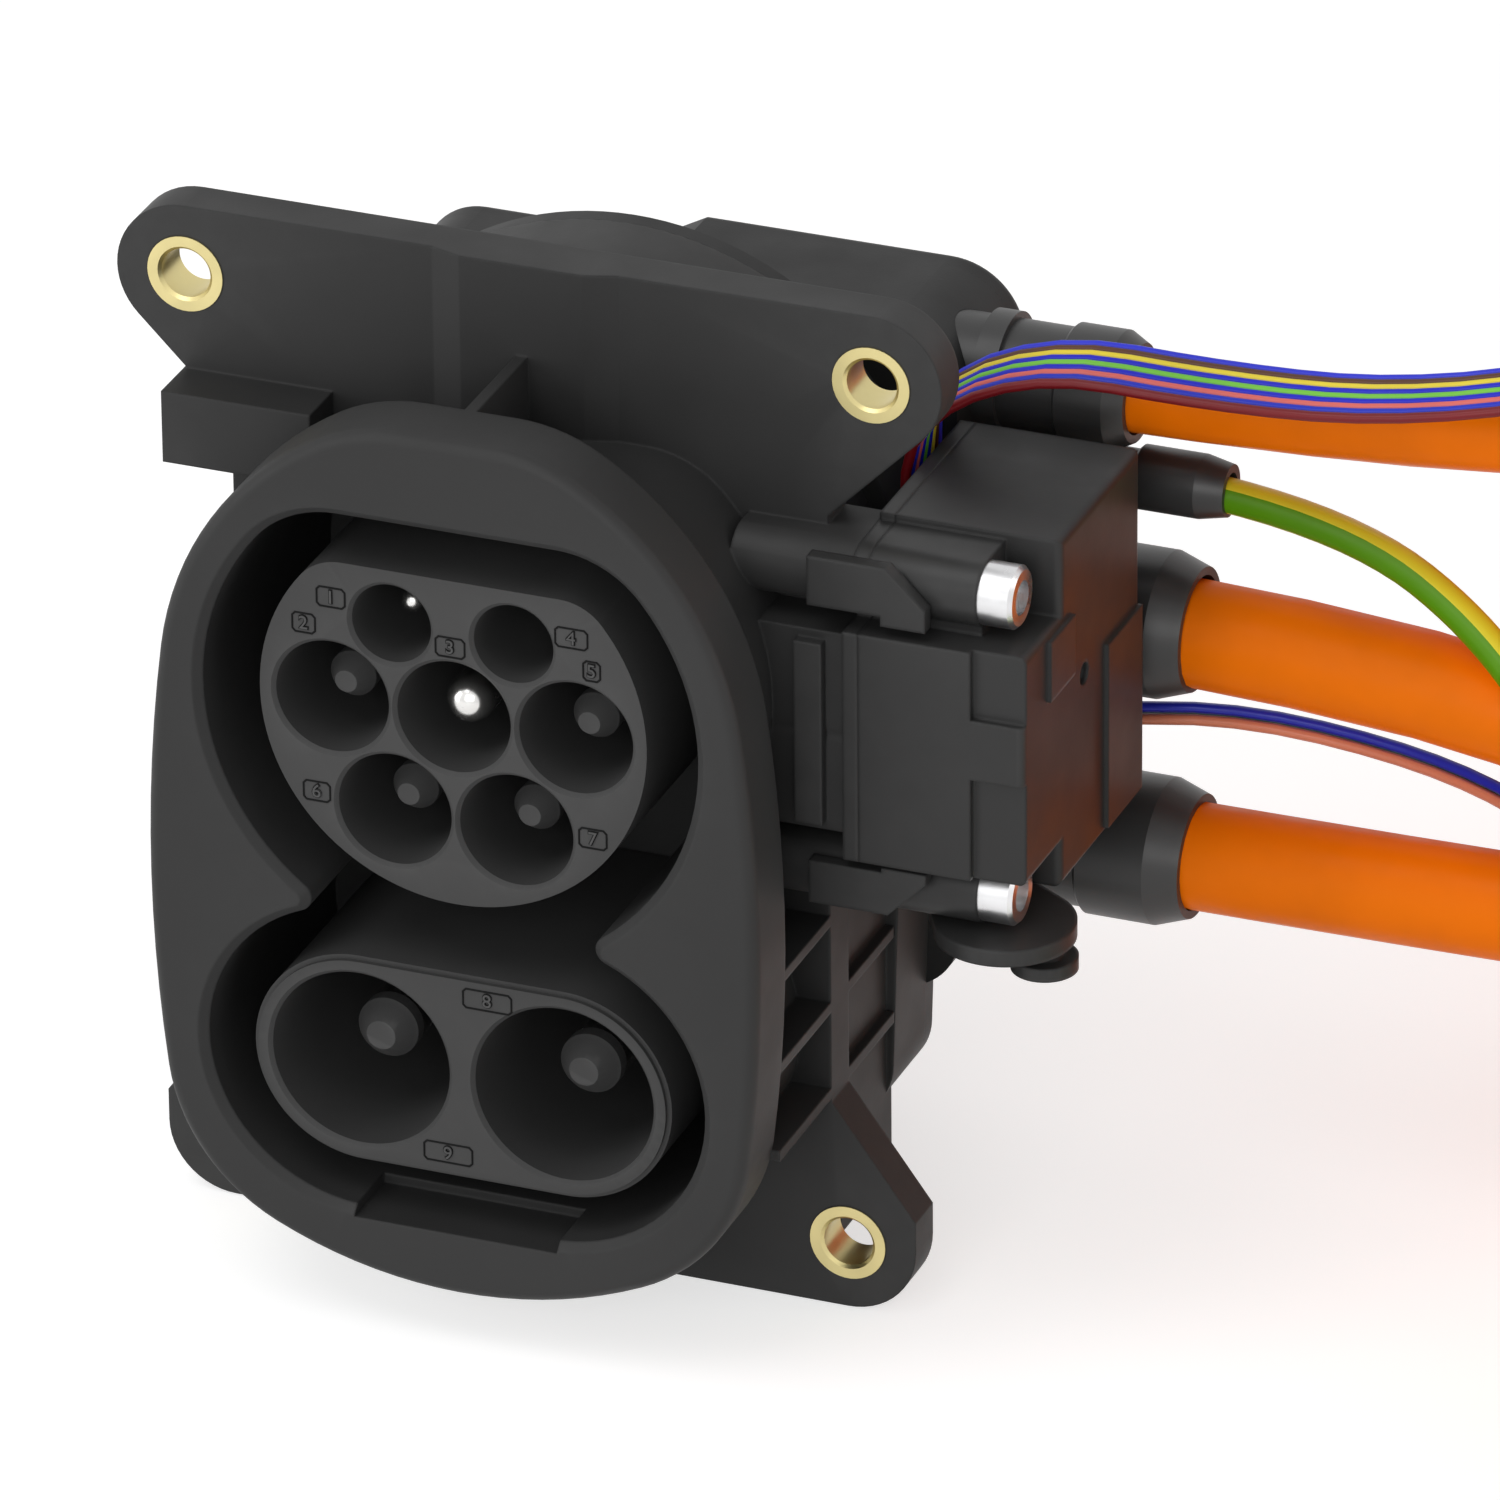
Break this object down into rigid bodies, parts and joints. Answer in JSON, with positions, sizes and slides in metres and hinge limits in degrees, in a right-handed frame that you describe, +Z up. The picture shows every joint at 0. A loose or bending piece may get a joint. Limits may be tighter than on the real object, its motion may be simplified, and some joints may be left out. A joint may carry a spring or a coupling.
{
  "type": "charge port inlet",
  "caption": "Vehicle charging inlet with a round AC face over a two-pole DC face in a moulded ring, a bolted flange, a side lock actuator and coiled cables.",
  "frame": {"origin": "on the axis of the earth contact, in the front plane of the flange", "axes": "+X to the right seen from the plug side, +Y into the vehicle, +Z up"},
  "size_m": [0.2974, 0.2159, 0.1404],
  "materials": {
    "actuator_plastic": "smooth moulded",
    "brass_bushing": "turned",
    "cap_plastic": "smooth",
    "contact_metal": "silver plated",
    "copper": "stamped",
    "earth_sheath": "green and yellow insulation",
    "gear_plastic": "moulded",
    "gland_rubber": "smooth",
    "housing_plastic": "fine spark-eroded grain",
    "insert_plastic": "smooth moulded",
    "motor_metal": "drawn",
    "orange_sheath": "smooth cable sheath",
    "sensor_insulation": "three coloured wires",
    "signal_insulation": "nine coloured wires",
    "steel": "zinc plated"
  },
  "bodies": {
    "housing": {"ac_boot": "gland_rubber", "ac_cable": "orange_sheath", "ac_coil": "orange_sheath", "ac_gland": "gland_rubber", "ac_insert": "insert_plastic", "actuator_base": "actuator_plastic", "actuator_cover": "actuator_plastic", "actuator_screws": "steel", "contact_cp": "contact_metal", "contact_dc_minus": "contact_metal", "contact_dc_plus": "contact_metal", "contact_l1": "contact_metal", "contact_l2": "contact_metal", "contact_l3": "contact_metal", "contact_n": "contact_metal", "contact_pe": "contact_metal", "contact_pp": "contact_metal", "dc_insert": "insert_plastic", "dc_minus_boot": "gland_rubber", "dc_minus_busbar": "copper", "dc_minus_cable": "orange_sheath", "dc_minus_coil": "orange_sheath", "dc_minus_gland": "gland_rubber", "dc_plus_boot": "gland_rubber", "dc_plus_busbar": "copper", "dc_plus_cable": "orange_sheath", "dc_plus_coil": "orange_sheath", "dc_plus_gland": "gland_rubber", "main_housing": "housing_plastic", "motor": "motor_metal", "mounting_bushings": "brass_bushing", "pe_boot": "gland_rubber", "pe_cable": "earth_sheath", "pe_coil": "earth_sheath", "pe_gland": "gland_rubber", "rear_cover": "housing_plastic", "rear_cover_screws": "steel", "rear_housing": "housing_plastic", "sensor_wire_coil": "sensor_insulation", "sensor_wires": "sensor_insulation", "signal_duct": "gland_rubber", "signal_wire_coil": "signal_insulation", "signal_wires": "signal_insulation", "tip_cap_dc_minus": "cap_plastic", "tip_cap_dc_plus": "cap_plastic", "tip_cap_l1": "cap_plastic", "tip_cap_l2": "cap_plastic", "tip_cap_l3": "cap_plastic", "tip_cap_n": "cap_plastic", "wire_gland": "gland_rubber"},
    "lock_bolt": {"lock_bolt": "steel"},
    "drive_gear": {"drive_gear": "gear_plastic", "release_lever": "actuator_plastic"},
    "motor_pinion": {"motor_pinion": "gear_plastic"}
  },
  "joints": [
    {"name": "bolt_slide", "type": "slide", "parent": "housing", "child": "lock_bolt", "axis": [-1, 0, 0], "range_m": [0, 0.007]},
    {"name": "lever_turn", "type": "hinge", "parent": "housing", "child": "drive_gear", "pos_m": [0.0563, 0.006, -0.00285], "axis": [0, 0, 1], "range_deg": [-54, 0]},
    {"name": "pinion_turn", "type": "hinge", "parent": "housing", "child": "motor_pinion", "pos_m": [0.0563, 0.0185, -0.00285], "axis": [0, 0, 1], "range_deg": [0, 81]}
  ],
  "couplings": [
    {"joint": "lever_turn", "follows": "bolt_slide", "rad_per_m": -133.33},
    {"joint": "pinion_turn", "follows": "bolt_slide", "rad_per_m": 200}
  ]
}
